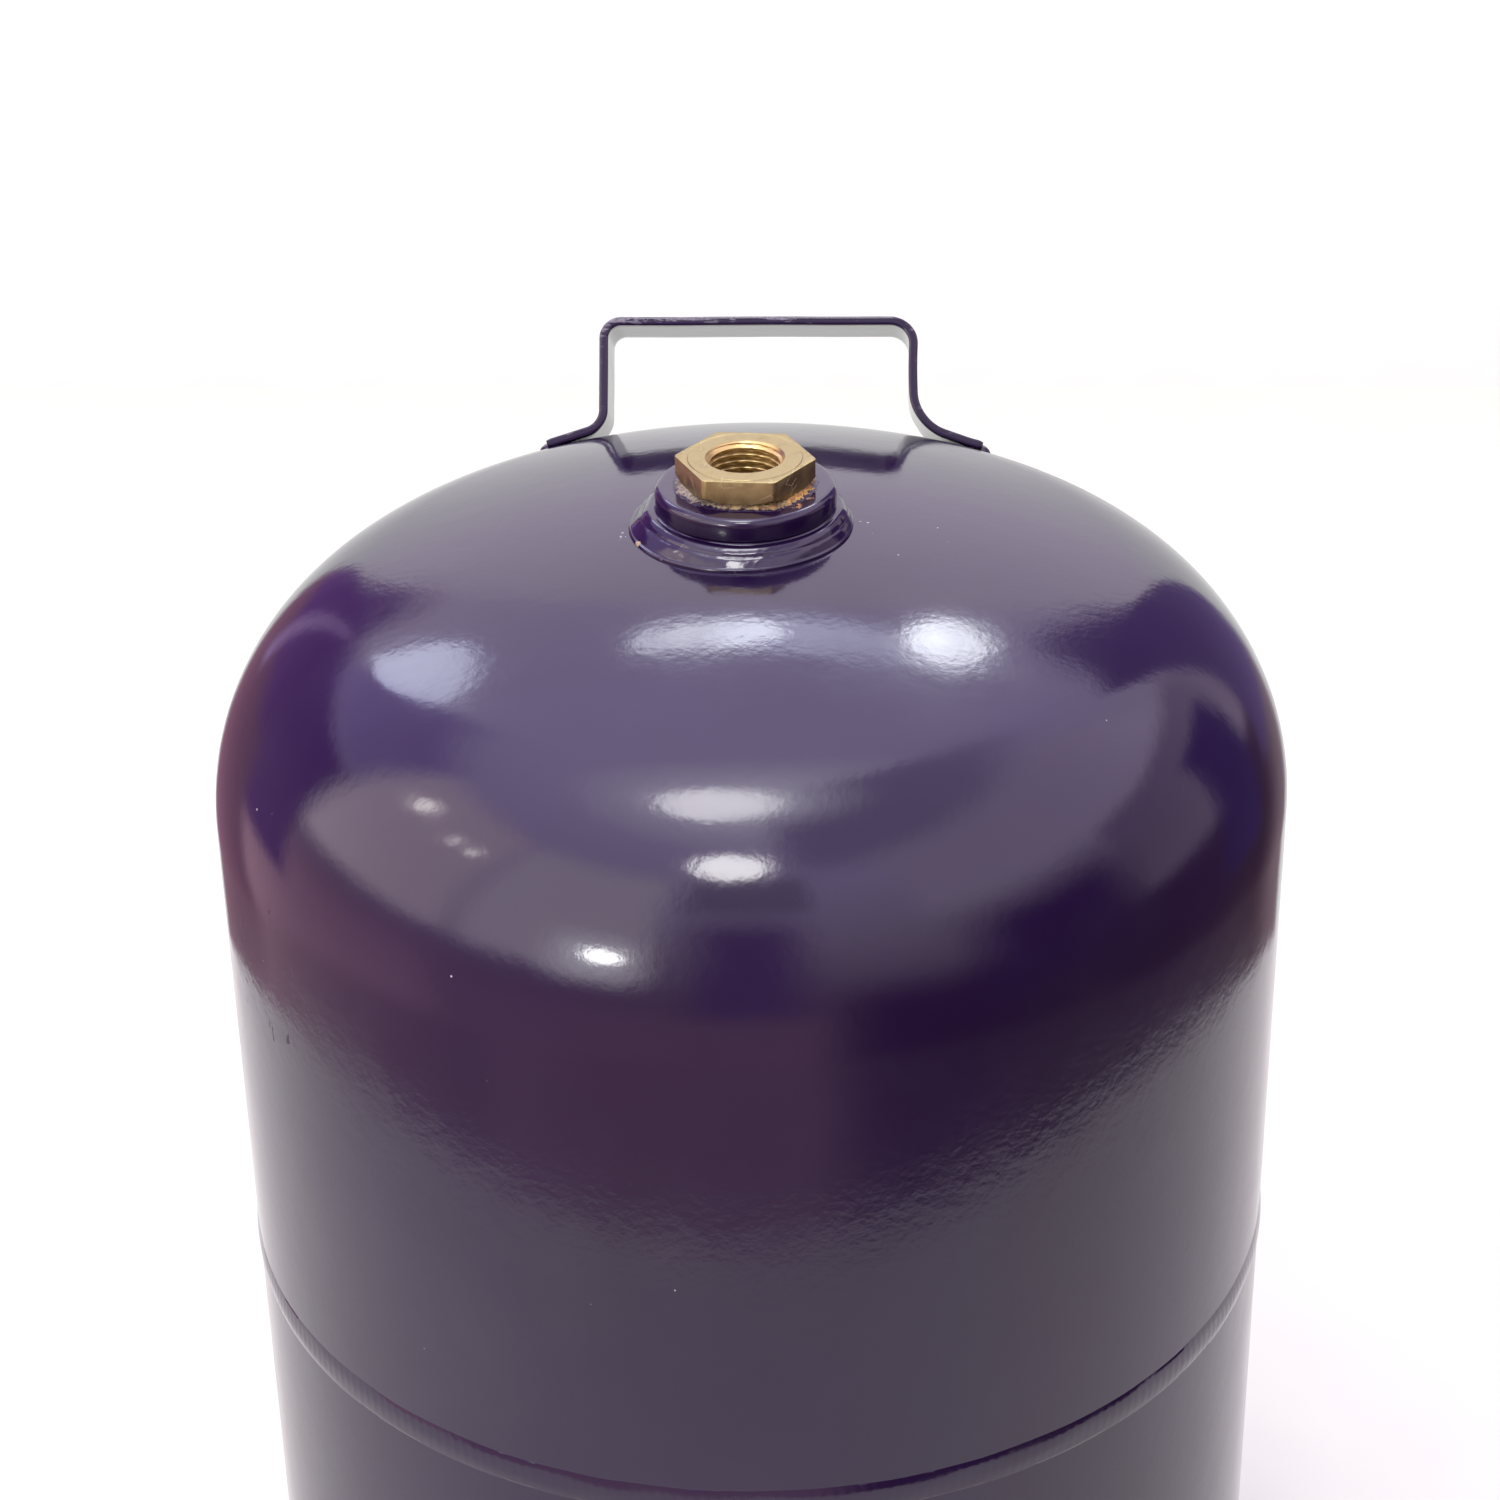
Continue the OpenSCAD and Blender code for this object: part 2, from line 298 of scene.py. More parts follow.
def near(tree, spot, reach, scale):
    """1 within a ragged patch about a point, 0 beyond it."""
    at = place(tree)
    gap = node(tree, "VectorMath", {0: at, 1: spot}, operation="DISTANCE").outputs["Value"]
    ragged = maths(tree, "SUBTRACT", cloud(tree, at, scale, 4, 0.65), 0.5)
    ragged = maths(tree, "MULTIPLY", ragged, reach * 2.4)
    return remap(tree, maths(tree, "ADD", gap, ragged), reach, reach * 0.8)


def near_any(tree, spots, height, scale):
    """1 within any of several ragged patches. spots are (x, y, reach) in millimetres."""
    mask = 0.0
    for x, y, reach in spots:
        patch = near(tree, (x * MM, y * MM, height), reach * MM, scale)
        mask = maths(tree, "MAXIMUM", mask, patch)
    return mask


# -------- materials

PURPLE = colour(0.0084, 0.0022, 0.0200)
PURPLE_DEEP = colour(0.0066, 0.0016, 0.0158)
DUST = colour(0.30, 0.28, 0.27)
NECK_DUST = colour(0.26, 0.24, 0.25)
SCUFF = colour(0.016, 0.010, 0.022)
PRIMER = colour(0.065, 0.060, 0.072)
PRIMER_PALE = colour(0.13, 0.12, 0.14)
RUST = colour(0.36, 0.13, 0.025)
RUST_DRY = colour(0.20, 0.15, 0.09)
BARE_SPOT = colour(0.23, 0.18, 0.10)
TOE_GRIME = colour(0.14, 0.12, 0.11)
BRASS_CLEAN = colour(0.300, 0.245, 0.104)
BRASS_STAINED = colour(0.19, 0.135, 0.050)
# Painted highlight: lighter, golder brass for the threads inside the bore, standing in for the light
# they catch.
BRASS_BORE_PAINTED_HIGHLIGHT = colour(0.50, 0.37, 0.145)
BRASS_SCRATCHED = colour(0.50, 0.42, 0.24)
# Each pair below is (in the hollows of the grain, on its tops).
SEALANT_CHALKY = (colour(0.10, 0.075, 0.05), colour(0.25, 0.22, 0.17))
SEALANT_BROWN = (colour(0.07, 0.04, 0.02), colour(0.26, 0.19, 0.08))
SEALANT_RUSTY = (colour(0.18, 0.08, 0.02), colour(0.42, 0.24, 0.06))
RUBBER_TINTS = (colour(0.014, 0.014, 0.015), colour(0.05, 0.05, 0.052))  # clean, bloomed
STEEL_TINTS = (colour(0.44, 0.44, 0.46), colour(0.66, 0.66, 0.67))  # in drawn lines, between them
BRONZE_TINTS = (colour(0.52, 0.37, 0.2), colour(0.12, 0.08, 0.05))  # grains, gaps


def enamel(name, peel=1.0, dusty=1.0):
    """Glossy purple enamel: slow colour drift, orange peel, smudges, dust and a few specks.
    Returns the material, its tree and its shader, so that wear can be laid over it."""
    material, tree, shader = new_material(name)
    at = place(tree)
    drift = remap(tree, cloud(tree, at, 14, 3), 0.35, 0.65)
    base = mix_colour(tree, drift, PURPLE, PURPLE_DEEP)
    film = remap(tree, cloud(tree, at, 9, 5, 0.6), 0.45, 0.85, 0.0, 0.03 * dusty)
    base = mix_colour(tree, film, base, DUST)
    speck_size = remap(tree, cloud(tree, at, 37, 1), 0.56, 0.74, 0.0, 0.045 * dusty)
    speck = maths(tree, "LESS_THAN", cells(tree, at, 190.0), speck_size)
    base = mix_colour(tree, speck, base, DUST)
    smudge = remap(tree, cloud(tree, at, 22, 4, 0.65), 0.40, 0.75, 0.10, 0.18)
    rough = maths(tree, "ADD", smudge, maths(tree, "MULTIPLY", speck, 0.4))
    normal = bump(tree, cloud(tree, at, 620, 2, 0.55), 0.018 * MM * peel)
    normal = bump(tree, cloud(tree, at, 120, 2, 0.5), 0.045 * MM * peel, normal)
    normal = bump(tree, cloud(tree, at, 11, 1, 0.5), 0.25 * MM, normal)
    normal = bump(tree, speck, 0.05 * MM, normal)
    wire(tree, shader, base_color=base, roughness=rough, normal=normal)
    shader.inputs["IOR"].default_value = 1.5
    return material, tree, shader


def shell_paint():
    """Enamel with dust caught round the neck and a few dull scuffs low on the left."""
    material, tree, shader = enamel("shell_paint")
    at = place(tree)
    size = remap(tree, cloud(tree, at, 130, 2), 0.46, 0.66, 0.0, 0.26)
    dot = maths(tree, "LESS_THAN", cells(tree, at, 850.0), size)
    spots = ((24.0, -3.5, 3.4), (26.0, 0.5, 3.0), (-24.0, 3.0, 3.0), (-24.5, -6.0, 2.4))
    dusty = near_any(tree, spots, CROWN_Z - 1.1 * MM, 150)
    cover(tree, shader, maths(tree, "MULTIPLY", dusty, dot), NECK_DUST, 0.5)
    strokes = cloud(tree, scaled(tree, at, (1.0, 1.0, 0.35)), 420, 3, 0.6)
    strokes = remap(tree, strokes, 0.665, 0.69)
    scuffed = near(tree, (-96 * MM, -62 * MM, 272 * MM), 22 * MM, 40)
    cover(tree, shader, maths(tree, "MULTIPLY", strokes, scuffed), SCUFF, 0.6)
    return material


def boss_paint():
    """Enamel with rusty crumbs beside the hexagon, on the front right of the collar."""
    material, tree, shader = enamel("boss_paint", peel=1.2)
    at = place(tree)
    height = node(tree, "SeparateXYZ", {"Vector": at}).outputs["Z"]
    on_top = remap(tree, height, BOSS_TOP - 0.6 * MM, BOSS_TOP - 0.2 * MM)
    spots = ((7.0, -12.6, 1.5), (10.5, -11.0, 1.6), (13.2, -7.4, 1.3))
    crumbs = remap(tree, cloud(tree, at, 950, 5, 0.7), 0.50, 0.55)
    mask = maths(tree, "MULTIPLY", near_any(tree, spots, BOSS_TOP, 420), crumbs)
    rust = mix_colour(tree, remap(tree, cloud(tree, at, 700, 3), 0.4, 0.6), RUST, RUST_DRY)
    cover(tree, shader, maths(tree, "MULTIPLY", mask, on_top), rust, 0.8)
    return material


def weld_paint():
    """Enamel over a lumpy bead, bare and yellowed at one spot of its toe."""
    material, tree, shader = enamel("weld_paint", peel=1.3, dusty=1.4)
    bare = near(tree, (-21.7 * MM, -10.6 * MM, CROWN_Z - 0.8 * MM), 0.8 * MM, 700)
    cover(tree, shader, bare, BARE_SPOT, 0.7)
    grime = remap(tree, cloud(tree, place(tree), 420, 4, 0.7), 0.60, 0.68)
    cover(tree, shader, maths(tree, "MULTIPLY", stored(tree, "toe"), grime), TOE_GRIME, 0.7)
    return material


def handle_paint():
    """Enamel worn to grey along the strip's corners, most of all on the grip, with small chips."""
    material, tree, shader = enamel("handle_paint", peel=0.8)
    at = place(tree)
    wear = stored(tree, "wear")
    patches = cloud(tree, scaled(tree, at, (0.4, 2.4, 2.4)), 330, 5, 0.7)
    worn = maths(tree, "ADD", patches, maths(tree, "MULTIPLY", wear, 0.17))
    worn = remap(tree, worn, 0.61, 0.68)
    chip_size = remap(tree, cloud(tree, at, 90, 2), 0.60, 0.74, 0.0, 0.22)
    chip = maths(tree, "LESS_THAN", cells(tree, at, 420.0), chip_size)
    any_wear = remap(tree, wear, 0.08, 0.70)
    mask = maths(tree, "MULTIPLY", maths(tree, "MAXIMUM", worn, chip), any_wear)
    mottle = remap(tree, cloud(tree, at, 1100, 3), 0.4, 0.6)
    cover(tree, shader, mask, mix_colour(tree, mottle, PRIMER, PRIMER_PALE), 0.5)
    return material


def brass():
    """Machined brass: turning rings round the axis, drawn lines on the flats, stains and scratches,
    and a painted highlight of lighter, golder brass within the bore's radius.
    """
    material, tree, shader = new_material("valve_brass")
    at = place(tree)
    across = scaled(tree, at, (1, 1, 0))
    radius = node(tree, "VectorMath", {0: across}, operation="LENGTH").outputs["Value"]
    rings = node(tree, "TexNoise", {"W": maths(tree, "MULTIPLY", radius, 6000.0), "Scale": 1.0,
                                    "Detail": 2.0}, noise_dimensions="1D").outputs["Fac"]
    drawn = cloud(tree, scaled(tree, at, (1, 1, 0.06)), 2600, 2)
    stain = remap(tree, cloud(tree, at, 260, 5, 0.62), 0.48, 0.72)
    tint = mix_colour(tree, maths(tree, "MULTIPLY", stain, 0.45), BRASS_CLEAN, BRASS_STAINED)
    # Painted highlight: within the bore's radius the brass turns lighter and golder, lifting the shade
    # in the threads.
    bore_painted_highlight = remap(tree, radius, MOUTH_R + 0.05 * MM, MOUTH_R - 0.15 * MM)
    tint = mix_colour(tree, bore_painted_highlight, tint, BRASS_BORE_PAINTED_HIGHLIGHT)
    scratch = node(tree, "TexVoronoi", {"Vector": scaled(tree, at, (1, 0.35, 1)), "Scale": 260.0},
                   feature="DISTANCE_TO_EDGE").outputs["Distance"]
    scratch = maths(tree, "MULTIPLY", maths(tree, "LESS_THAN", scratch, 0.012),
                    remap(tree, cloud(tree, at, 180, 2), 0.55, 0.62))
    tint = mix_colour(tree, scratch, tint, BRASS_SCRATCHED)
    rough = remap(tree, cloud(tree, at, 330, 4, 0.6), 0.35, 0.7, 0.32, 0.50)
    normal = bump(tree, rings, 0.006 * MM)
    normal = bump(tree, drawn, 0.006 * MM, normal)
    normal = bump(tree, scratch, -0.03 * MM, normal)
    wire(tree, shader, base_color=tint, metallic=1.0, roughness=rough, normal=normal)
    return material


def sealant():
    """Dried sealing compound: chalky at the left, yellow-brown at the front, rusty at the right,
    and lost under the paint where it thins out."""
    material, tree, shader = new_material("sealant")
    at = place(tree)
    x = node(tree, "SeparateXYZ", {"Vector": at}).outputs["X"]
    grains = remap(tree, cloud(tree, at, 1100, 5, 0.7), 0.35, 0.65)
    chalky, brown, rusty = [mix_colour(tree, grains, *tints)
                            for tints in (SEALANT_CHALKY, SEALANT_BROWN, SEALANT_RUSTY)]
    tint = mix_colour(tree, remap(tree, x, -9 * MM, -1 * MM), chalky, brown)
    patches = remap(tree, cloud(tree, at, 330, 3, 0.6), 0.40, 0.55)
    rust = maths(tree, "MULTIPLY", remap(tree, x, 1 * MM, 8 * MM), patches)
    tint = mix_colour(tree, rust, tint, rusty)
    thick = maths(tree, "MULTIPLY", maths(tree, "SUBTRACT", stored(tree, "thick"), 0.5), 0.5)
    bare = remap(tree, maths(tree, "ADD", cloud(tree, at, 520, 5, 0.7), thick), 0.46, 0.53)
    wire(tree, shader, base_color=mix_colour(tree, bare, PURPLE, tint),
         roughness=remap(tree, bare, 0.0, 1.0, 0.22, 0.8), normal=bump(tree, grains, 0.08 * MM))
    return material


def rubber():
    material, tree, shader = new_material("seal_rubber")
    at = place(tree)
    grain = cloud(tree, at, 1500, 3)
    bloom = remap(tree, cloud(tree, at, 200, 4), 0.45, 0.75)
    wire(tree, shader, base_color=mix_colour(tree, bloom, *RUBBER_TINTS),
         roughness=remap(tree, grain, 0.3, 0.7, 0.5, 0.75), normal=bump(tree, grain, 0.02 * MM))
    return material


def spring_steel():
    material, tree, shader = new_material("spring_steel")
    lines = cloud(tree, scaled(tree, place(tree), (1, 1, 8)), 1800, 3)
    wire(tree, shader, base_color=mix_colour(tree, lines, *STEEL_TINTS), metallic=1.0,
         roughness=remap(tree, lines, 0.3, 0.7, 0.22, 0.4), normal=bump(tree, lines, 0.004 * MM))
    return material


def sintered_bronze():
    material, tree, shader = new_material("sintered_bronze")
    gap = cells(tree, place(tree), 3200.0)
    tint = mix_colour(tree, remap(tree, gap, 0.1, 0.6), *BRONZE_TINTS)
    wire(tree, shader, base_color=tint, metallic=1.0,
         roughness=remap(tree, gap, 0.0, 0.6, 0.35, 0.7), normal=bump(tree, gap, -0.08 * MM))
    return material


SHELL = shell_paint()
BOSS = boss_paint()
WELD = weld_paint()
HANDLE = handle_paint()
BRASS = brass()
SEALANT = sealant()
RUBBER = rubber()
STEEL = spring_steel()
BRONZE = sintered_bronze()

# -------- shells

CROWN_STEPS = 26
KNUCKLE_STEPS = 40
SIDE_STEPS = 12
SHELL_SEGMENTS = 256
POLE_R = 0.2 * MM
JOGGLE_STEP = 4 * MM
JOGGLE_SLIP = 0.1 * MM


def wall_outline(inset, inner_r, end):
    """A shell's outline at a depth inside its outer surface: over the dome from radius inner_r,
    then down the side to the height end."""
    start = math.degrees(math.asin(inner_r / (CROWN_R - inset)))
    join = math.degrees(CROWN_A)
    knuckle_z = CROWN_Z - DOME_H
    crown = arc(0, CROWN_Z - CROWN_R, CROWN_R - inset, 90 - start, 90 - join, CROWN_STEPS)
    knuckle = arc(KNUCKLE_C, knuckle_z, KNUCKLE_R - inset, 90 - join, 0, KNUCKLE_STEPS)
    side = [(BODY_R - inset, knuckle_z + (end - knuckle_z) * i / SIDE_STEPS)
            for i in range(1, SIDE_STEPS + 1)]
    return crown + knuckle[1:] + side


def make_upper_shell():
    edge = SEAM_Z + SEAM_HALF_GAP
    outer = wall_outline(0, NECK_HOLE_R, edge)
    inner = wall_outline(WALL, NECK_HOLE_R, edge)
    shell = turned("upper_shell_skin", outer + inner[::-1], SHELL_SEGMENTS, SHELL)
    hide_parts("upper_shell")


def make_lower_shell():
    """The upper shell's shape upside down and closed, its edge joggled in behind the seam."""
    flip = CROWN_Z + SHELL_BOTTOM
    edge = SEAM_Z + SEAM_HALF_GAP
    low_edge = SEAM_Z - SEAM_HALF_GAP
    joggle_r = BODY_R - WALL - JOGGLE_SLIP
    joggle_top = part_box("lower_shell")[1].z
    outer = [(r, flip - z) for r, z in wall_outline(0, POLE_R, edge)]
    inner = [(r, flip - z) for r, z in wall_outline(WALL, POLE_R, edge + JOGGLE_STEP)]
    lip = [(joggle_r, low_edge), (joggle_r, joggle_top), (joggle_r - WALL, joggle_top),
           (joggle_r - WALL, low_edge - JOGGLE_STEP)]
    shell = turned("lower_shell_skin", outer + lip + inner[::-1], SHELL_SEGMENTS, SHELL)
    close_poles(shell)
    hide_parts("lower_shell")


def close_poles(piece):
    """Welds the smallest rings of a turned piece to single points on the axis."""
    same_point = 1e-6
    for v in piece.data.vertices:
        if math.hypot(v.co.x, v.co.y) < POLE_R * 1.5:
            v.co.x = v.co.y = 0
    edit = bmesh.new()
    edit.from_mesh(piece.data)
    bmesh.ops.remove_doubles(edit, verts=edit.verts, dist=same_point)
    on_axis = [e for e in edit.edges
               if all(math.hypot(v.co.x, v.co.y) < same_point for v in e.verts)]
    bmesh.ops.delete(edit, geom=on_axis, context="EDGES")
    edit.to_mesh(piece.data)
    edit.free()


def make_girth_weld():
    """Round bead with the fine crescent ripples of a machine weld."""
    low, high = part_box("girth_weld")
    cap = high.x - BODY_R
    half = (high.z - low.z) / 2
    cap_r = (half ** 2 + cap ** 2) / (2 * cap)
    span = math.degrees(math.asin(half / cap_r))
    cap_steps = 12
    ripples = 310
    segments = 6 * ripples
    crown = arc(BODY_R + cap - cap_r, SEAM_Z, cap_r, -span, span, cap_steps)
    rim_r = BODY_R - 0.05 * MM
    root_half = 1.4 * MM
    root = [(rim_r, SEAM_Z + half), (rim_r, SEAM_Z + root_half),
            (BODY_R - WALL, SEAM_Z + root_half), (BODY_R - WALL, SEAM_Z - root_half),
            (rim_r, SEAM_Z - root_half), (rim_r, SEAM_Z - half)]

    def push(r, z, a, row):
        if row > cap_steps:
            return r, z
        across = (z - SEAM_Z) / half
        bulge = 1 - across ** 2
        ripple = 0.5 + 0.5 * math.sin(ripples * a + 2.2 * across ** 2)
        wander = noise.noise(Vector(polar(9, a, across)))
        lift = -0.035 * MM * bulge * ripple - 0.10 * MM * bulge * (wander + 0.5)
        return r + lift, z + 0.25 * MM * wander

    bead = turned("girth_weld_bead", crown + root, segments, WELD, push)
    paint_points(bead, "toe", [0.0] * len(bead.data.vertices))
    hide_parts("girth_weld")


make_upper_shell()
make_lower_shell()
make_girth_weld()

# -------- neck

NECK_WELD_ROWS = 40
NECK_WELD_SEGMENTS = 300


def make_neck():
    top_round = 1.6 * MM
    low_round = 0.4 * MM
    stub_r = NECK_HOLE_R - 0.1 * MM
    bore_r = SHANK_R + 0.05 * MM
    stub_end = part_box("neck_boss")[0].z
    outline = [(bore_r, stub_end), (stub_r, stub_end), (stub_r, COLLAR_Z)]
    outline += spread((stub_r, COLLAR_Z), (BOSS_R - 0.3 * MM, COLLAR_Z), 3)[1:]
    outline += arc(BOSS_R - low_round, COLLAR_Z + low_round, low_round, -90, 0, 4)
    outline += arc(BOSS_R - top_round, BOSS_TOP - top_round, top_round, 0, 90, 12)
    outline += spread((BOSS_R - top_round, BOSS_TOP), (bore_r, BOSS_TOP), 6)[1:]
    outline.append((bore_r, BOSS_TOP))

    def push(r, z, a, row):
        wobble = noise.noise(Vector(polar(1.3, a, z * 60)))
        return r + (0.06 * MM * wobble if r > stub_r + 1 * MM else 0), z

    boss = turned("neck_boss_skin", outline, 256, BOSS, push)
    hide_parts("neck_boss")


def neck_toe(a):
    """Reach of the neck weld's toe from the axis: widest at the front left."""
    wide = 1.3 * math.cos(a - math.radians(212))
    oval = 0.2 * math.cos(2 * a - math.radians(50))
    return (23.1 + wide + oval) * MM


def weld_bulge(u, a):
    """How far the neck weld stands off the straight line from the collar (u 0) to its toe (u 1):
    a groove under the collar, two soft passes, and a thin roll at the toe."""
    around = Vector(polar(1, a, 0))
    lobes = noise.noise(around * 1.7 + Vector((3.1, 0.4, 0)))
    split = 0.52 + 0.07 * math.sin(a + 0.6) + 0.03 * math.sin(3 * a)
    out = (0.62 + 0.30 * lobes) * math.sin(math.pi * u ** 0.8)
    out -= 0.50 * math.exp(-((u - 0.05) / 0.09) ** 2)
    out -= 0.17 * math.exp(-((u - split) / 0.07) ** 2)
    out += 0.30 * math.exp(-((u - 0.94) / 0.045) ** 2)
    swell = noise.noise(around * 3.4 + Vector((0, 7.7, u * 0.8)))
    fine = noise.noise(around * 13 + Vector((u * 3, 0, 4.4)))
    return (out + math.sin(math.pi * u) * (0.32 * swell + 0.05 * fine)) * MM


def neck_weld_point(u, a):
    """A point of the neck weld's face, from the collar (u 0) to its toe (u 1)."""
    sunk = 0.05 * MM
    climb = (0.75 if math.cos(a) < 0 else 0.40) * math.cos(a) ** 2 * MM
    top_r = BOSS_R + 0.12 * MM
    top_z = COLLAR_Z - 0.15 * MM + climb
    toe_r = neck_toe(a)
    toe_z = CROWN_Z - dome_drop(toe_r) - sunk
    slope = math.atan2(top_z - toe_z, toe_r - top_r)
    out = weld_bulge(u, a)
    r = top_r + (toe_r - top_r) * u + out * math.sin(slope)
    z = top_z + (toe_z - top_z) * u + out * math.cos(slope)
    return polar(r, a, max(z, CROWN_Z - dome_drop(r) - sunk))


def make_neck_weld():
    """Flared fillet from the dome up to the collar, which it climbs at the sides."""
    angles = turn_angles(NECK_WELD_SEGMENTS)
    verts, toe = [], []
    for row in range(NECK_WELD_ROWS + 1):
        u = row / NECK_WELD_ROWS
        verts += [neck_weld_point(u, a) for a in angles]
        toe += [share(u, 0.93, 0.99)] * NECK_WELD_SEGMENTS
    root = ((NECK_WELD_R - 2 * MM, CROWN_Z - 1.3 * MM), (NECK_HOLE_R, CROWN_Z - 0.7 * MM),
            (NECK_HOLE_R, COLLAR_Z), (BOSS_R - 0.6 * MM, COLLAR_Z))
    for r, z in root:
        verts += [polar(r, a, z) for a in angles]
        toe += [0.0] * NECK_WELD_SEGMENTS
    faces = ring_faces(NECK_WELD_ROWS + 1 + len(root), NECK_WELD_SEGMENTS, flip=True)
    weld = add_piece("neck_weld_bead", verts, faces, WELD, sharp_deg=75)
    paint_points(weld, "toe", toe)
    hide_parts("neck_weld")


make_neck()
make_neck_weld()

# -------- valve

THREAD_ROWS = 116
CHAMFER_ROWS = 8
VALVE_SEGMENTS = 240


def thread_radius(angle, z):
    """Wall radius of the right-hand M16 x 1.5 female thread at an angle and a height."""
    u = ((HEX_TOP - z) / PITCH + angle / (2 * math.pi)) % 1.0
    crest, root = 0.25, 0.125
    flank = (1 - crest - root) / 2
    if u < crest:
        depth = 0.0
    elif u < crest + flank:
        depth = (u - crest) / flank
    elif u < crest + flank + root:
        depth = 1.0
    else:
        depth = (1 - u) / flank
    return THREAD_MINOR + (THREAD_MAJOR - THREAD_MINOR) * depth


def bore_outline(a):
    """The threaded bore at an angle, from its countersunk mouth down."""
    outline = []
    for i in range(THREAD_ROWS + 1):
        z = HEX_TOP + (THREAD_END - HEX_TOP) * i / THREAD_ROWS
        outline.append((max(thread_radius(a, z), MOUTH_R - (HEX_TOP - z)), z))
    return outline


def inside_outline():
    """The gasket's seat, the chamber with its two ring grooves, and the shank's outside."""
    seat_z = THREAD_END - SEAT_DEPTH
    gasket_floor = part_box("regulator_gasket")[0].z
    shank_chamfer = 0.6 * MM
    outline = [(GASKET_R, THREAD_END), (GASKET_R, gasket_floor), (SEAT_R, gasket_floor),
               (SEAT_R, seat_z), (CHAMBER_R, seat_z)]
    for ring in ("retainer_ring", "filter_ring"):
        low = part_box(ring)[0].z - 0.05 * MM
        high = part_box(ring)[1].z
        outline += [(CHAMBER_R, high), (GROOVE_R, high), (GROOVE_R, low), (CHAMBER_R, low)]
    return outline + [(CHAMBER_R, SHANK_END), (SHANK_R - shank_chamfer, SHANK_END),
                      (SHANK_R, SHANK_END + shank_chamfer), (SHANK_R, HEX_Z)]


def hexagon_outline(a):
    """The hexagon at an angle: chamfered below, bevelled above, with a turned step on its top."""
    local = (a - HEX_TURN) % math.radians(60) - math.radians(30)
    side_r = min(HEX_FLAT_R / math.cos(local), HEX_CORNER_R - 0.22 * MM)
    chamfer_h = 1.1 * MM
    low_r = HEX_FLAT_R + 0.4 * MM
    high_r = HEX_CORNER_R + 0.1 * MM
    outline = []
    for i in range(CHAMFER_ROWS + 1):
        up = chamfer_h * i / CHAMFER_ROWS
        outline.append((min(side_r, low_r + up / chamfer_h * (high_r - low_r)), HEX_Z + up))
    bevel = 0.14 * MM
    rim_z = HEX_TOP - 0.07 * MM
    step_r = 11.9 * MM
    half_step = 0.12 * MM
    return outline + [(side_r, rim_z - bevel), (side_r - bevel * 0.3, rim_z - bevel * 0.3),
                      (side_r - bevel, rim_z), (step_r + half_step, rim_z),
                      (step_r, rim_z - 0.05 * MM), (step_r - half_step, HEX_TOP - 0.01 * MM),
                      (10 * MM, HEX_TOP), (MOUTH_R + 0.08 * MM, HEX_TOP)]


def make_valve():
    angles = turn_angles(VALVE_SEGMENTS, HEX_TURN)
    inside = inside_outline()
    outlines = [bore_outline(a) + inside + hexagon_outline(a) for a in angles]
    rows = len(outlines[0])
    verts = [polar(outline[row][0], a, outline[row][1])
             for row in range(rows) for a, outline in zip(angles, outlines)]
    faces = ring_faces(rows, VALVE_SEGMENTS, flip=True)
    valve = add_piece("valve_body_turned", verts, faces, BRASS, sharp_deg=28)
    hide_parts("valve_body")


def sealant_rim(a):
    """Reach of the squeezed-out compound: furthest at the sides and under the right front corner."""
    deg = math.degrees(a) % 360
    knots = ((0, 15.2), (30, 14.8), (90, 14.7), (150, 15.2), (185, 15.1), (217, 14.8), (240, 14.6),
             (255, 14.2), (272, 13.9), (284, 14.5), (295, 15.3), (310, 15.0), (335, 14.8), (360, 15.2))
    for (d0, r0), (d1, r1) in zip(knots, knots[1:]):
        if deg <= d1:
            t = (deg - d0) / (d1 - d0)
            return (r0 + (r1 - r0) * t * t * (3 - 2 * t)) * MM
    return knots[-1][1] * MM


def make_sealant():
    """Compound squeezed out from under the hexagon into a thin ragged film with a crumbly root."""
    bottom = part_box("thread_sealant")[0].z
    hole = SHANK_R + 0.1 * MM
    # The film's rows: how far in from its rim, and how tall, in millimetres.
    film = ((0.0, 0.0), (0.15, 0.05), (0.5, 0.09), (0.9, 0.14), (1.3, 0.26), (1.7, 0.50), (2.1, 0.72))
    outline = [(hole, bottom)] + [(13 * MM, bottom)] * len(film) + [(12.0 * MM, HEX_Z), (hole, HEX_Z)]
    segments = 480

    def push(r, z, a, row):
        if not 1 <= row <= len(film):
            return r, z
        inward, tall = film[row - 1]
        around = Vector(polar(1, a, 0))
        ragged = sum(0.26 * noise.noise(around * f) for f in (6, 13, 29, 61))
        crumbs = noise.noise(Vector(polar(45, a, row * 0.8)))
        reach = sealant_rim(a) + ragged * MM - inward * MM
        lift = tall * (1 + 0.6 * crumbs) * MM if row > 1 else 0
        return max(reach, 12.3 * MM), min(bottom + lift, HEX_Z - 0.02 * MM)

    ring = turned("thread_sealant_rim", outline, segments, SEALANT, push, sharp_deg=80)
    thick = [0.0] + [k / (len(film) - 1) for k in range(len(film))] + [1.0, 1.0]
    paint_points(ring, "thick", [value for value in thick for _ in range(segments)])
    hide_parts("thread_sealant")


make_valve()
make_sealant()

# -------- handle

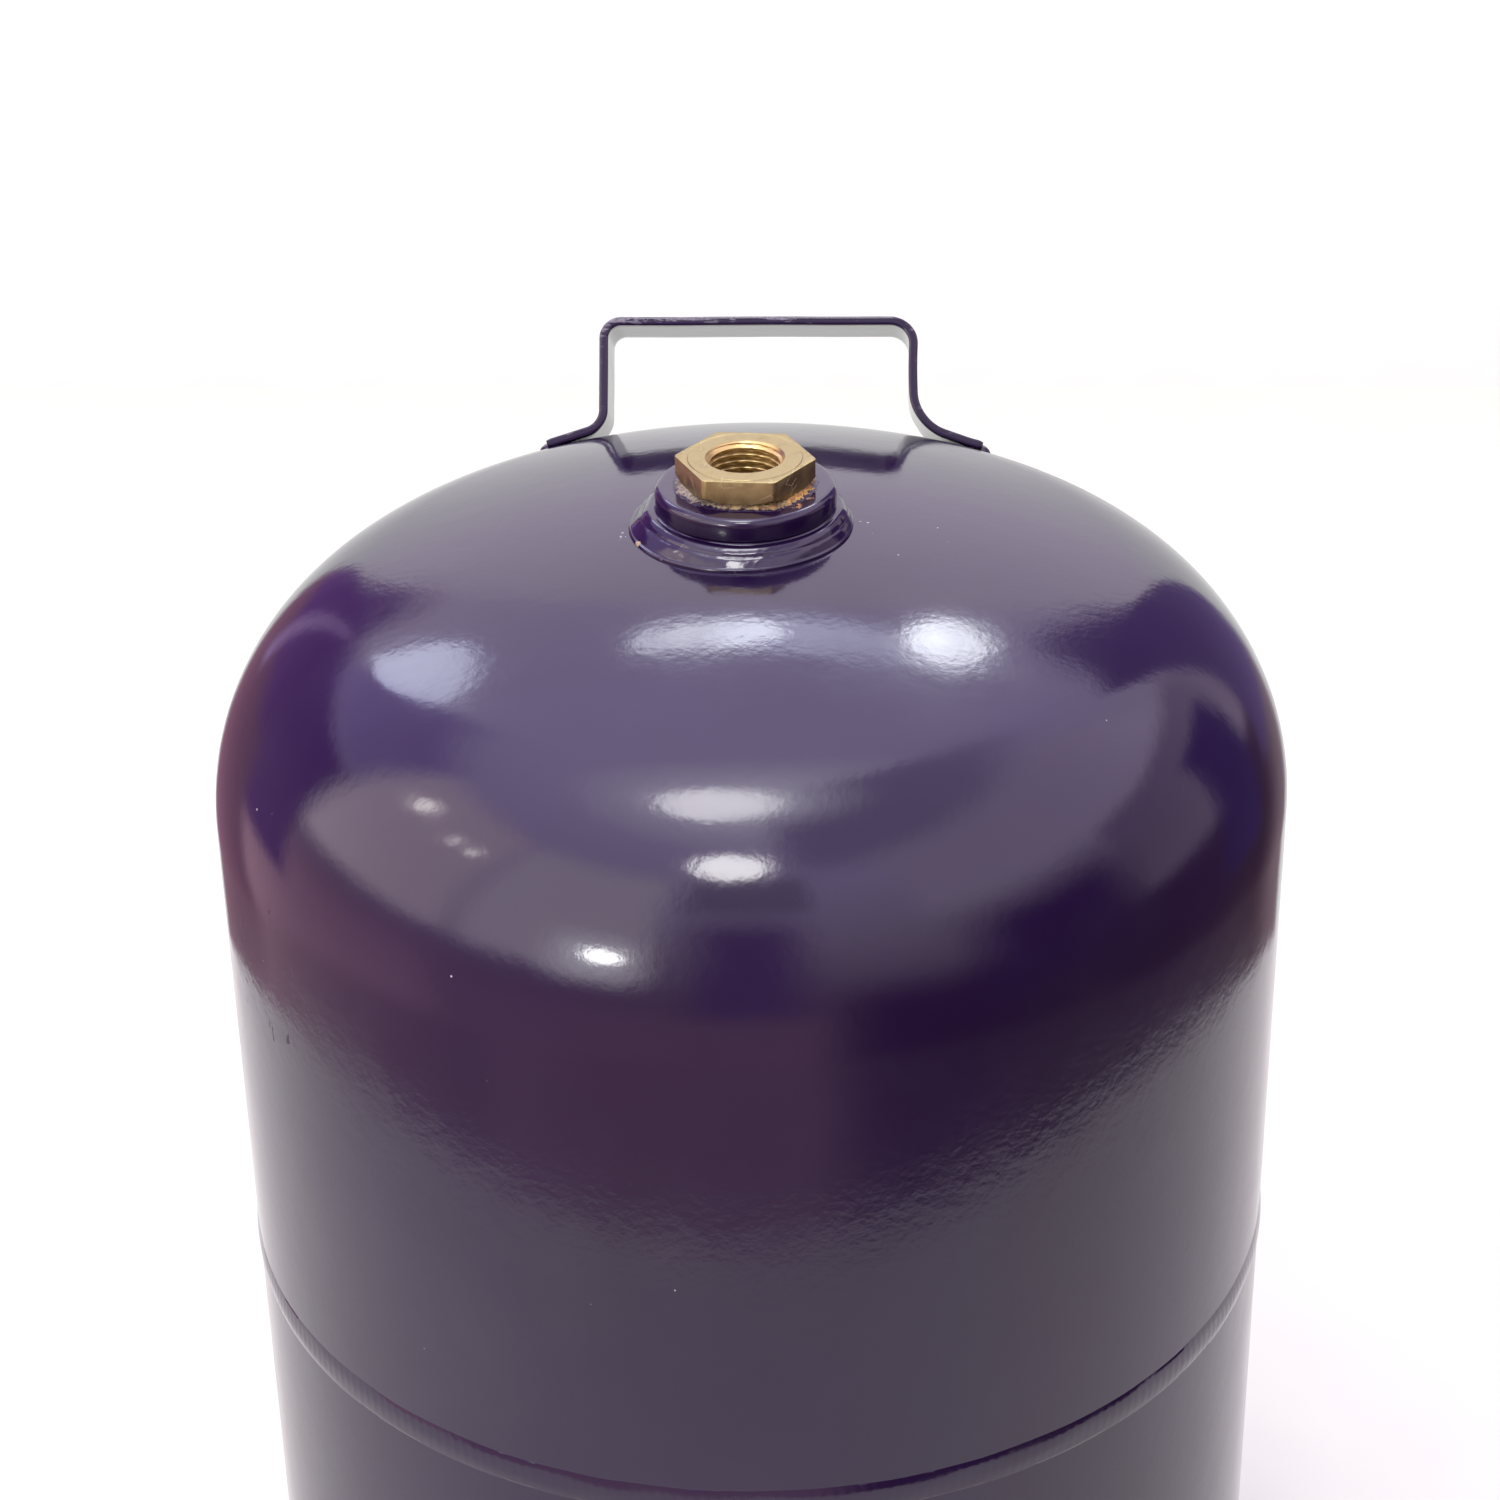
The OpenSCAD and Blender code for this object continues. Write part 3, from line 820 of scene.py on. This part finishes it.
def filleted(points, radii, step):
    """Points and directions along a line whose inner corners are rounded to the given radii."""
    line = []
    start = Vector(points[0])
    for i in range(1, len(points) - 1):
        before = (Vector(points[i]) - Vector(points[i - 1])).normalized()
        after = (Vector(points[i + 1]) - Vector(points[i])).normalized()
        turn = before.angle_signed(after)
        reach = radii[i - 1] * math.tan(abs(turn) / 2)
        enter = Vector(points[i]) - before * reach
        count = max(int((enter - start).length / step), 2)
        line += [(start.lerp(enter, k / count), before) for k in range(count)]
        bends = max(int(abs(turn) * radii[i - 1] / (step * 0.4)), 10)
        centre_side = Vector((before.y, -before.x)) * (1 if turn > 0 else -1)
        centre = enter + centre_side * radii[i - 1]
        for k in range(bends):
            part = Matrix.Rotation(-turn * k / bends, 2)
            line.append((centre + part @ (enter - centre), part @ before))
        start = centre + Matrix.Rotation(-turn, 2) @ (enter - centre)
    last = Vector(points[-1])
    count = max(int((last - start).length / step), 2)
    direction = (last - start).normalized()
    line += [(start.lerp(last, k / count), direction) for k in range(count + 1)]
    return line


HANDLE_Z = CROWN_Z - dome_drop(math.hypot(CONTACT_S, HANDLE_Y))
UP = Vector((0, math.sin(LEAN), math.cos(LEAN)))
BACK = Vector((0, math.cos(LEAN), -math.sin(LEAN)))


def on_handle(s, t, n):
    """A point of the handle: s along the grip, t up its lean, n from its front edge to the back."""
    return Vector((s, HANDLE_Y, HANDLE_Z)) + UP * t + BACK * n


def foot_line(s):
    """Height of the strip's middle line on a foot."""
    return FOOT_LIFT + STRIP_T / 2 / math.cos(FOOT_SLOPE) - (s - CONTACT_S) * math.tan(FOOT_SLOPE)


def strip_section():
    """The strip's rounded cross-section as (through its thickness, across its width, wear)."""
    x = STRIP_T / 2 - STRIP_CORNER
    y = STRIP_W / 2 - STRIP_CORNER
    points = []
    corners = ((x, y, 0, 1.0), (-x, y, 90, 0.35), (-x, -y, 180, 0.3), (x, -y, 270, 0.8))
    for cx, cy, start, wear in corners:
        points += [(px, py, wear) for px, py in arc(cx, cy, STRIP_CORNER, start, start + 90, 5)]
        if start in (90, 270):
            side_x = points[-1][0]
            points += [(side_x, cy * (1 - k / 5), 0.0) for k in range(1, 10)]
    return points


def bowed(spot, across):
    """Small set of the bent strip: the right upright leans in at mid height, the feet rise
    towards their bends, and the back edges of both feet are pressed down to the dome."""
    rise = share(spot.y, 6 * MM, HANDLE_BAR)
    out = share(abs(spot.x), HANDLE_HALF + 1 * MM, HANDLE_HALF + 13 * MM)
    x = spot.x
    lift = 0.9 * MM if spot.x > 0 else 0.5 * MM
    y = spot.y + lift * (1 - out) * (1 - rise) - 3.5 * MM * out * (across / STRIP_W) ** 2
    if spot.x > 20 * MM:
        x -= 0.25 * MM * math.sin(math.pi * rise) ** 2
    return x, y


def handle_line():
    """The strip's middle line from the left foot's tip to the right one's, with directions."""
    left = HANDLE_HALF + LEFT_SHIFT
    points = [(-LEFT_TIP, foot_line(LEFT_TIP)), (-left, foot_line(left)),
              (-left, HANDLE_BAR), (HANDLE_HALF, HANDLE_BAR),
              (HANDLE_HALF, foot_line(HANDLE_HALF)), (RIGHT_REACH, foot_line(RIGHT_REACH))]
    return filleted(points, [5.0 * MM, 4.0 * MM, 5.6 * MM, 9.5 * MM], 1.0 * MM)


def make_handle():
    line = handle_line()
    rings, wears = [], []
    for index, (spot, direction) in enumerate(line):
        out = Vector((-direction.y, direction.x))
        wobble = 0.10 * MM * noise.noise(Vector((spot.x * 55, spot.y * 55, 0)))
        grip = 1.0 - 0.5 * share(spot.x, -10 * MM, 30 * MM) if spot.y > 25 * MM else 0.33
        end = 0.75 if index in (0, len(line) - 1) else 1.0
        ring = []
        for thick, wide, wear in strip_section():
            across = STRIP_W / 2 - wide
            x, y = bowed(spot + out * (thick * end + wobble), across)
            ring.append(on_handle(x, y, across))
            wears.append(wear * grip)
        rings.append(ring)
    verts, faces = loft(rings)
    handle = add_piece("handle_strip", verts, faces, HANDLE, sharp_deg=50)
    paint_points(handle, "wear", wears)
    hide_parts("handle")


make_handle()

# -------- weld beads

FOOT_WELD_STEPS = 53
STITCH_STEPS = 96
BUTT_WELD_STEPS = 40


def bead_mesh(spine, ups, tall, wide, seed, lumps=0.16, pitch=2.0 * MM):
    """Vertices and faces of a lumpy bead along a line of points, with round ends and a ripple
    every pitch. tall and wide are its half sizes at each point of the line."""
    rings = []
    travelled = 0.0
    total = sum((b - a).length for a, b in zip(spine, spine[1:]))
    for i, centre in enumerate(spine):
        ahead = (spine[min(i + 1, len(spine) - 1)] - spine[max(i - 1, 0)]).normalized()
        if i:
            travelled += (centre - spine[i - 1]).length
        up = (ups[i] - ahead * ups[i].dot(ahead)).normalized()
        across = ahead.cross(up)
        taper = min(travelled, total - travelled) / (wide[i] * 1.2)
        scale = math.sqrt(max(1 - (1 - min(taper, 1)) ** 2, 0.0004))
        scale *= 1 + lumps * noise.noise(Vector((travelled * 350, seed, 0)))
        scale *= 1 + 0.04 * math.sin(2 * math.pi * travelled / pitch)
        ring = []
        for a in turn_angles(16):
            spot = Vector((travelled * 800, math.cos(a) * 2, math.sin(a) * 2 + seed))
            grain = 1 + 0.05 * noise.noise(spot)
            ring.append(centre + across * (wide[i] * scale * grain * math.cos(a))
                        + up * (tall[i] * scale * grain * math.sin(a)))
        rings.append(ring)
    return loft(rings)


def add_bead(name, meshes, replaced):
    """Joins bead meshes into one painted piece."""
    verts, faces = [], []
    for more, turns in meshes:
        faces += [tuple(i + len(verts) for i in face) for face in turns]
        verts += more
    piece = add_piece(name, verts, faces, WELD, sharp_deg=80)
    paint_points(piece, "toe", [0.3] * len(verts))
    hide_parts(replaced)


def dome_normal(x, y):
    """Direction straight out of the upper dome at a place."""
    r = math.hypot(x, y)
    centre = Vector((0, 0, CROWN_Z - CROWN_R))
    if r > CROWN_R * math.sin(CROWN_A):
        centre = Vector((x / r * KNUCKLE_C, y / r * KNUCKLE_C, CROWN_Z - DOME_H))
    return (Vector((x, y, CROWN_Z - dome_drop(r))) - centre).normalized()


def make_handle_welds():
    """A fillet round the tip of each foot: from the strip's top edge down to the dome."""
    for name, reach, sign, seed in (("left", LEFT_TIP, -1, 2.0), ("right", RIGHT_REACH, 1, 7.0)):
        spine, ups, tall = [], [], []
        tip = Vector((sign * (reach - 0.1 * MM), foot_line(reach) + STRIP_T * 0.45))
        for k in range(FOOT_WELD_STEPS + 1):
            n = 0.7 * MM + (STRIP_W - 2.2 * MM) * k / FOOT_WELD_STEPS
            x, y = bowed(tip, n)
            edge = on_handle(x, y, n)
            up = dome_normal(edge.x, edge.y)
            ground = CROWN_Z - dome_drop(min(math.hypot(edge.x, edge.y), BODY_R - 0.1 * MM))
            height = min((edge.z - ground) * up.z, 4.2 * MM)
            spine.append(edge - up * height)
            ups.append(up)
            tall.append(height * 0.92)
        bead = bead_mesh(spine, ups, tall, [3.0 * MM] * len(spine), seed)
        add_bead(f"handle_weld_{name}_bead", [bead], f"handle_weld_{name}")


def make_ring_stitches():
    """Four hand-laid welds between the foot ring and the lower dome."""
    ring_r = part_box("foot_ring")[1].x
    low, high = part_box("foot_ring_welds")
    line_z = (low.z + high.z) / 2
    size = [high.z - line_z] * (STITCH_STEPS + 1)
    ups = [Vector((0, 0, 1))] * (STITCH_STEPS + 1)
    stitches = []
    for i in range(4):
        angles = [math.radians(90 * i + 20 + 50 * k / STITCH_STEPS) for k in range(STITCH_STEPS + 1)]
        spine = [Vector(polar(ring_r, a, line_z)) for a in angles]
        stitches.append(bead_mesh(spine, ups, size, size, 11.0 + i, pitch=2.6 * MM))
    add_bead("foot_ring_stitches", stitches, "foot_ring_welds")


def make_ring_seam():
    """The butt weld that closes the foot ring, on its back."""
    low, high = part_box("foot_ring_seam")
    middle = (low.y + high.y) / 2
    deep = (high.y - low.y) / 2
    count = BUTT_WELD_STEPS + 1
    spine = [Vector((0, middle, low.z + (high.z - low.z) * k / BUTT_WELD_STEPS)) for k in range(count)]
    ups = [Vector((0, 1, 0))] * count
    seam = bead_mesh(spine, ups, [deep] * count, [deep * 1.2] * count, 23.0, lumps=0.08)
    add_bead("foot_ring_butt_weld", [seam], "foot_ring_seam")


make_handle_welds()
make_ring_stitches()
make_ring_seam()

# -------- nodes kept as the frame has them

for kept, material in {
    "regulator_gasket": RUBBER, "poppet": BRASS, "poppet_seal": RUBBER, "poppet_spring": STEEL,
    "spring_retainer": BRASS, "retainer_ring": STEEL, "gas_filter": BRONZE, "filter_ring": STEEL,
    "foot_ring": SHELL,
}.items():
    NODES[kept].data.materials.clear()
    NODES[kept].data.materials.append(material)

# -------- floor, light and camera

TABLE_HALF_X = 0.476
TABLE_HALF_Y = 0.442
TABLE_Y = 0.004
TABLE_STEPS = 96
FLOOR_R = 14.0
FLOOR_TINTS = (colour(0.49, 0.505, 0.415), colour(0.52, 0.535, 0.445))
TANK_CENTRE = Vector((0, 0, 0.3))
BACKDROP = colour(1.1, 1.1, 1.1)


def make_floor():
    """Oval pale table top, and the same surface carried on far beyond it. Only the camera and soft
    light see the far part, so the tank mirrors a table and not an endless floor."""
    material, tree, shader = new_material("pale_floor")
    grain = cloud(tree, place(tree), 30, 3)
    wire(tree, shader, base_color=mix_colour(tree, grain, *FLOOR_TINTS), roughness=0.8)
    rim = [(TABLE_HALF_X * math.cos(t), TABLE_Y + TABLE_HALF_Y * math.sin(t), 0)
           for t in turn_angles(TABLE_STEPS)]
    far = [polar(FLOOR_R, t, 0) for t in turn_angles(TABLE_STEPS)]
    add_object("table_top", rim, [tuple(range(TABLE_STEPS))], material)
    ring = ring_faces(2, TABLE_STEPS, joined=False, flip=True)
    far_floor = add_object("far_floor", rim + far, ring, material)
    far_floor.visible_glossy = False


def lamp(name, centre, size, radiance, tint=(1, 1, 1), level=False):
    """Oval area light of a given brightness that faces the tank, or straight down if it is level.
    size is (width, depth)."""
    light = bpy.data.lights.new(name, "AREA")
    light.shape = "ELLIPSE"
    light.size, light.size_y = size
    area = math.pi / 4 * size[0] * size[1]
    light.energy = radiance * area * math.pi
    light.color = tint
    lamp_object = bpy.data.objects.new(name, light)
    centre = Vector(centre)
    facing = (TANK_CENTRE - centre).to_track_quat("-Z", "Y").to_matrix().to_4x4()
    lamp_object.matrix_world = Matrix.Translation(centre) @ (Matrix() if level else facing)
    bpy.context.scene.collection.objects.link(lamp_object)
    lamp_object.visible_camera = False


def glow_material(name, half_h, radiance, tints):
    """Glow that changes with height. radiance and tints are (at the foot, at the top)."""
    material = bpy.data.materials.new(name)
    material.use_nodes = True
    tree = material.node_tree
    tree.nodes.clear()
    height = node(tree, "SeparateXYZ", {"Vector": place(tree)}).outputs["Y"]
    strength = remap(tree, height, -half_h * 0.5, half_h, *radiance)
    tint = mix_colour(tree, remap(tree, height, -half_h * 0.1, half_h * 0.4), *tints)
    glow = node(tree, "Emission", {"Color": tint, "Strength": strength})
    node(tree, "OutputMaterial", {"Surface": glow.outputs[0]})
    return material


def make_sheet():
    """Upright arched board behind the tank, which the paint mirrors and the camera doesn't see."""
    centre = Vector((0.0, 0.90, 0.40))
    half_w = 0.47
    half_h = 0.80
    tints = (colour(1.02, 1.02, 1.01), colour(1.15, 1.04, 1.22))
    material = glow_material("sheet", half_h, (0.98, 1.80), tints)
    outline = [(-half_w, -half_h, 0), (half_w, -half_h, 0)]
    outline += [(half_w * math.cos(t), half_h * (0.3 + 0.7 * math.sin(t)), 0)
                for t in [math.pi * k / 24 for k in range(25)]]
    board = add_object("sheet", outline, [tuple(range(len(outline)))], material)
    to_tank = Vector((-centre.x, -centre.y, 0)).to_track_quat("Z", "Y")
    board.matrix_world = Matrix.Translation(centre) @ to_tank.to_matrix().to_4x4()
    board.visible_camera = False
    board.visible_shadow = False


# Elevation in degrees and the room's brightness there.
ROOM_BY_HEIGHT = (
    (-90, (0.60, 0.56, 0.55)), (-46, (0.60, 0.56, 0.55)), (-38, (0.32, 0.22, 0.25)),
    (-8, (0.42, 0.30, 0.34)), (6, (0.90, 0.72, 0.90)), (24, (1.50, 1.30, 1.60)),
    (50, (2.05, 1.82, 2.65)), (66, (2.40, 2.15, 3.05)), (76, (3.60, 3.40, 4.20)),
    (90, (5.50, 5.40, 6.20)),
)

# Soft edge, brightness, (from azimuth, to azimuth, from elevation, to elevation), in degrees.
# Azimuth 0 is towards the camera and 90 is to its right. A later area lies over an earlier one.
ROOM_AREAS = (
    (12, (1.30, 0.74, 0.92), (-132, -60, -31, 0)),    # low on the left
    (12, (0.90, 0.54, 0.66), (-60, 24, -40, -2)),     # low in front
    (9, (0.11, 0.06, 0.06), (20, 142, -35, 0)),       # dark low on the right
    (4, (3.15, 2.60, 2.80), (-104, -62, 6, 51)),      # lit wall, left
    (5, (3.10, 2.75, 3.05), (-60, -19, 6, 51)),       # lit wall, front left
    (7, (1.30, 1.15, 1.65), (14, 140, 56, 80)),       # ceiling, right
    (6, (2.10, 1.80, 2.35), (40, 128, 28, 57)),       # upper wall, right
    (3, (0.85, 0.68, 0.88), (86, 137, -2, 27)),       # lower wall, right
    (9, (0.10, 0.06, 0.12), (48, 84, -16, 21)),       # dark corner, front right
    (2, (0.10, 0.07, 0.24), (113, 131, -20, 18)),     # dark upright, right
    (2, (0.26, 0.18, 0.42), (138, 158, -14, 39)),     # dark upright, back right
    (3, (0.30, 0.13, 0.46), (-157, -106, -13, 27)),   # dark wall, back left
    (4, (0.42, 0.20, 0.28), (-158, -126, -31, 0)),    # below that wall
    (1, (0.80, 0.52, 1.00), (-149, -146, -8, 24)),    # narrow light gap in it
    (4, (1.10, 0.85, 1.75), (-142, -106, 27, 51)),    # upper wall, back left
    (4, (1.00, 0.90, 1.10), (-14, 16, 38, 54)),       # dim band above the camera
    (7, (0.44, 0.28, 0.58), (-10, 12, -9, 34)),       # dark behind the camera
    (6, (5.20, 5.00, 5.40), (-38, -22, 4, 22)),       # bright patch, front left
)


def room_area(tree, azimuth, elevation, below, area):
    """Lays a soft-edged light or dark area over the room."""
    soft, tint, sides = area
    mask = 1.0
    for angle, low, high in ((azimuth, *sides[:2]), (elevation, *sides[2:])):
        for edge, way in ((low, 1), (high, -1)):
            rise = remap(tree, angle, edge - way * soft, edge + way * soft)
            mask = maths(tree, "MULTIPLY", mask, rise)
    return mix_colour(tree, mask, below, colour(*tint))


def room_ramp(tree, elevation):
    """The room's brightness by height alone."""
    ramp = node(tree, "ValToRGB", {0: remap_line(tree, elevation, -90, 90)})
    stops = ramp.color_ramp.elements
    stops.remove(stops[1])
    for index, (height, tint) in enumerate(ROOM_BY_HEIGHT):
        at = (height + 90) / 180
        stop = stops[0] if index == 0 else stops.new(at)
        stop.position = at
        stop.color = colour(*tint)
    return ramp.outputs[0]


def make_world():
    """The room as the paint mirrors it, by direction: a pale ceiling, lit walls and dark corners.
    The camera sees an even pale backdrop instead."""
    world = bpy.data.worlds.new("room")
    bpy.context.scene.world = world
    world.use_nodes = True
    tree = world.node_tree
    split = node(tree, "SeparateXYZ", {"Vector": node(tree, "TexCoord").outputs["Generated"]})
    towards_camera = maths(tree, "MULTIPLY", split.outputs["Y"], -1.0)
    azimuth = maths(tree, "DEGREES", maths(tree, "ARCTAN2", split.outputs["X"], towards_camera))
    elevation = maths(tree, "DEGREES", maths(tree, "ARCSINE", split.outputs["Z"]))
    room = room_ramp(tree, elevation)
    for area in ROOM_AREAS:
        room = room_area(tree, azimuth, elevation, room, area)
    camera_ray = node(tree, "LightPath").outputs["Is Camera Ray"]
    background = tree.nodes["Background"]
    feed(tree, background.inputs["Color"], mix_colour(tree, camera_ray, room, BACKDROP))
    background.inputs["Strength"].default_value = 1.0


def make_lights():
    blue = (0.72, 0.80, 1.0)
    warm = (1.0, 0.96, 0.90)
    lamp("overhead", (-0.16, -0.12, 2.5), (0.60, 0.66), 9.5, (1, 0.99, 0.98), level=True)
    lamp("front_ceiling", (-0.10, -1.40, 2.5), (0.57, 0.54), 17, (1, 0.99, 0.97))
    lamp("round_lamp", (-1.34, -2.58, 1.05), (0.46, 0.34), 26)
    lamp("left_lamp_a", (-2.65, -0.05, 2.5), (0.22, 0.36), 12, warm)
    lamp("left_lamp_b", (-2.76, -0.80, 2.5), (0.10, 0.30), 10, warm)
    lamp("left_lamp_c", (-2.66, -1.10, 2.5), (0.10, 0.28), 11, warm)
    lamp("back_left", (-1.62, 2.30, 2.5), (0.72, 0.80), 5.5, blue)
    lamp("back_middle", (-0.24, 1.97, 2.5), (0.60, 0.24), 9, (0.86, 0.92, 1.0))
    lamp("back_middle_far", (0.16, 1.97, 2.5), (0.76, 0.30), 3.8, blue)
    lamp("back_right", (0.69, 2.15, 2.5), (0.32, 0.42), 15, (0.88, 0.94, 1.0))


def make_camera():
    data = bpy.data.cameras.new("camera")
    data.sensor_width = 36
    data.lens = 80.3
    data.clip_start = 0.05
    camera = bpy.data.objects.new("camera", data)
    where = Vector((0.028, -0.6312, CROWN_Z + 0.2905))
    yaw, tilt, roll = math.radians(2.55), math.radians(90 - 28.65), -0.019
    camera.matrix_world = (Matrix.Translation(where) @ Matrix.Rotation(yaw, 4, "Z")
                           @ Matrix.Rotation(tilt, 4, "X") @ Matrix.Rotation(roll, 4, "Z"))
    bpy.context.scene.collection.objects.link(camera)
    bpy.context.scene.camera = camera


make_floor()
make_world()
make_lights()
make_sheet()
make_camera()
bpy.context.scene.view_settings.view_transform = "Standard"
